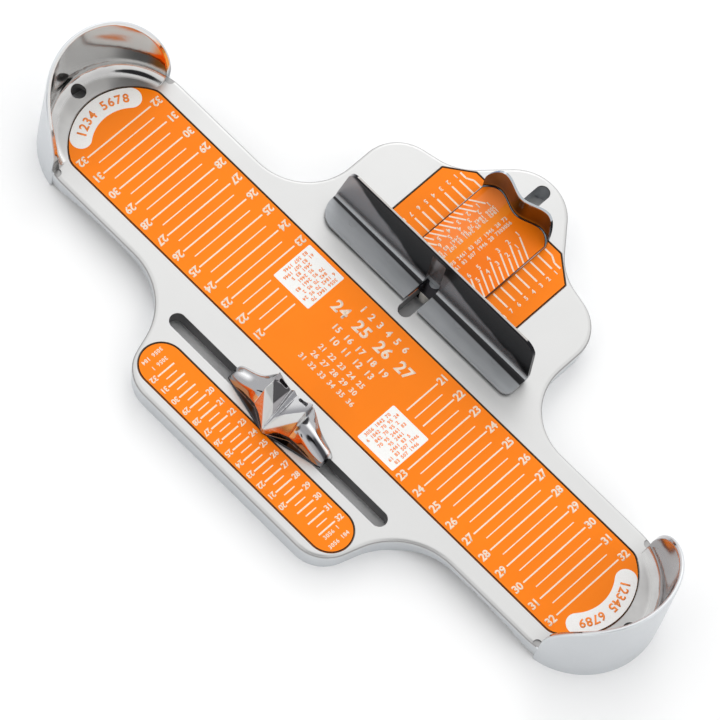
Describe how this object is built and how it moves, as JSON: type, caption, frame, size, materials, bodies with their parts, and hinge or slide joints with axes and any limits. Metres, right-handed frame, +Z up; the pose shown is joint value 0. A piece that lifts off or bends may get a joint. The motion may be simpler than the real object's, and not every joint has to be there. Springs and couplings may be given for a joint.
{
  "type": "foot measuring device",
  "caption": "Flat foot measuring device: cast base with a heel cup at each end, orange length scale, sliding arch pointer and sliding width bar with a thumb grip.",
  "frame": {"origin": "centre of the bounding box's bottom face, on the surface that the base rests on", "axes": "+X along the length scale, +Y from the arch pointer's side to the width bar's side, +Z up"},
  "size_m": [0.358, 0.2068, 0.0521],
  "materials": {
    "cast_aluminium": "satin cast aluminium, linished top, bright inside the heel cups",
    "orange_scale": "glossy orange enamel with off-white printed lines and numerals",
    "orange_dial": "glossy orange enamel with off-white printed lines",
    "white_printing": "off-white screen-printed ink",
    "bright_chrome": "bright chrome plate, polished",
    "polished_steel": "polished sheet steel, bright",
    "plated_steel": "zinc plated, satin",
    "spring_steel": "blued spring steel, satin",
    "guide_plastic": "natural acetal, machined"
  },
  "bodies": {
    "base": {"base_casting": "cast_aluminium", "length_scale_plate": "orange_scale", "arch_scale_plate": "orange_scale", "width_scale_plate_left": "orange_scale", "width_scale_plate_right": "orange_scale"},
    "arch_slider": {"arch_pointer": "bright_chrome", "arch_guide_key": "guide_plastic", "arch_friction_spring": "spring_steel", "arch_retainer_plate": "plated_steel", "arch_washers": "plated_steel", "arch_screws": "plated_steel"},
    "width_slider": {"width_carrier_plate": "bright_chrome", "width_dial_overlay": "orange_dial", "width_bar": "polished_steel", "width_bar_rivets": "plated_steel", "width_front_key": "guide_plastic", "width_rear_key": "guide_plastic", "width_friction_spring": "spring_steel", "width_retainer_plate": "plated_steel", "width_key_rivets": "plated_steel"}
  },
  "joints": [
    {"name": "arch_slide", "type": "slide", "parent": "base", "child": "arch_slider", "axis": [1, 0, 0], "range_m": [-0.05, 0.05]},
    {"name": "width_slide", "type": "slide", "parent": "base", "child": "width_slider", "axis": [0, 1, 0], "range_m": [-0.012, 0.025]}
  ]
}
